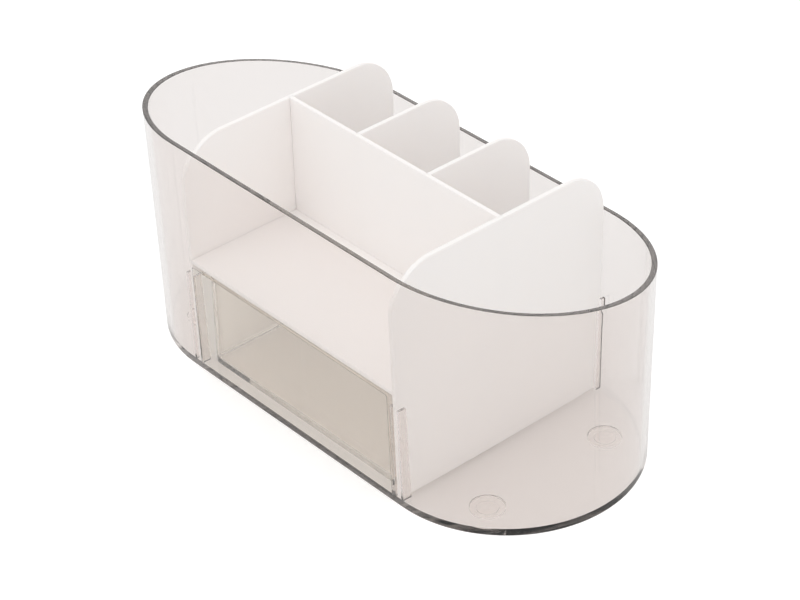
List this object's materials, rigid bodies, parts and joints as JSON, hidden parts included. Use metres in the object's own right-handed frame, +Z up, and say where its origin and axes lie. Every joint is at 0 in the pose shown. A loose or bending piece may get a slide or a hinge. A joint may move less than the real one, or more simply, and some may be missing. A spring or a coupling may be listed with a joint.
{
  "type": "brush holder with drawer",
  "caption": "Clear oval desk holder with a slanted rim, a white drop-in divider with upright brush slots, a deck and a clear drawer beneath it.",
  "frame": {"origin": "on the table, under the middle of the tub", "axes": "+X along the tub, -Y towards the drawer's front and the high side of the rim, +Z up"},
  "size_m": [0.2562, 0.1198, 0.1131],
  "materials": {
    "clear_plastic": "gloss, clear",
    "white_plastic": "satin",
    "foot_pad": "soft, translucent"
  },
  "bodies": {
    "tub": {"outer_shell": "clear_plastic", "foot_front_left": "foot_pad", "foot_front_right": "foot_pad", "foot_rear_right": "foot_pad", "foot_rear_left": "foot_pad"},
    "insert": {"left_side_panel": "white_plastic", "right_side_panel": "white_plastic", "mid_wall": "white_plastic", "left_rear_divider": "white_plastic", "right_rear_divider": "white_plastic", "deck": "white_plastic"},
    "drawer": {"drawer": "clear_plastic"}
  },
  "joints": [
    {"name": "drawer_slide", "type": "slide", "parent": "tub", "child": "drawer", "axis": [0, -1, 0], "range_m": [0, 0.045]},
    {"name": "insert_lift", "type": "slide", "parent": "tub", "child": "insert", "axis": [0, 0, 1], "range_m": [0, 0.115]}
  ]
}
